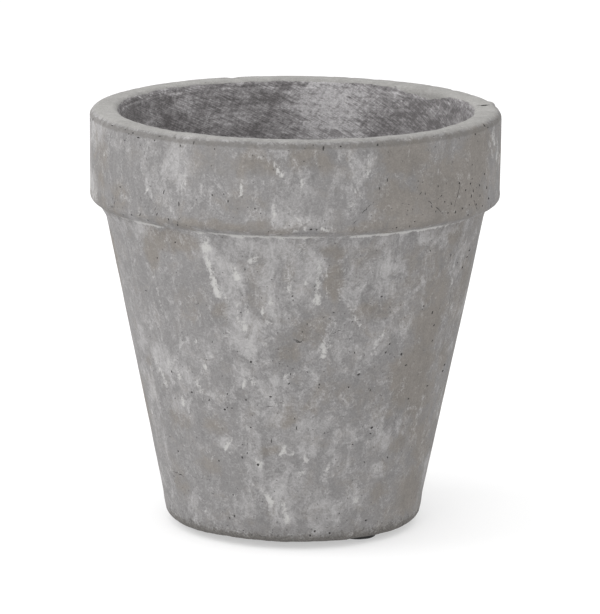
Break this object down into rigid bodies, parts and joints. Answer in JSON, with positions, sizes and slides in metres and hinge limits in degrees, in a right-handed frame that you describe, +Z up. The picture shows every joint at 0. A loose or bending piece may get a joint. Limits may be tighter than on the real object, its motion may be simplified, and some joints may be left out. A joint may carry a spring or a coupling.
{
  "type": "flower pot",
  "caption": "Round tapered concrete flower pot with a raised rim band, a sealed hollow and stick-on foot pads.",
  "frame": {"origin": "on the pot's axis, in the plane that the three foot pads stand on", "axes": "+Z up along the pot's axis; -Y is the side taken as the front; +X is to the right when the front is faced"},
  "size_m": [0.2, 0.2, 0.2065],
  "materials": {
    "concrete": "dry cast concrete, mottled with lime bloom, fine pores",
    "sealer": "brushed-on clear sealer over concrete, darker and slightly satin",
    "pad_rubber": "black rubber, matt, slightly textured",
    "adhesive": "pale adhesive film"
  },
  "bodies": {
    "root": {"pot_casting": "concrete", "inner_sealer_coat": "sealer", "foot_pad_1": "pad_rubber", "foot_pad_2": "pad_rubber", "foot_pad_3": "pad_rubber", "pad_adhesive_1": "adhesive", "pad_adhesive_2": "adhesive", "pad_adhesive_3": "adhesive"}
  },
  "joints": []
}
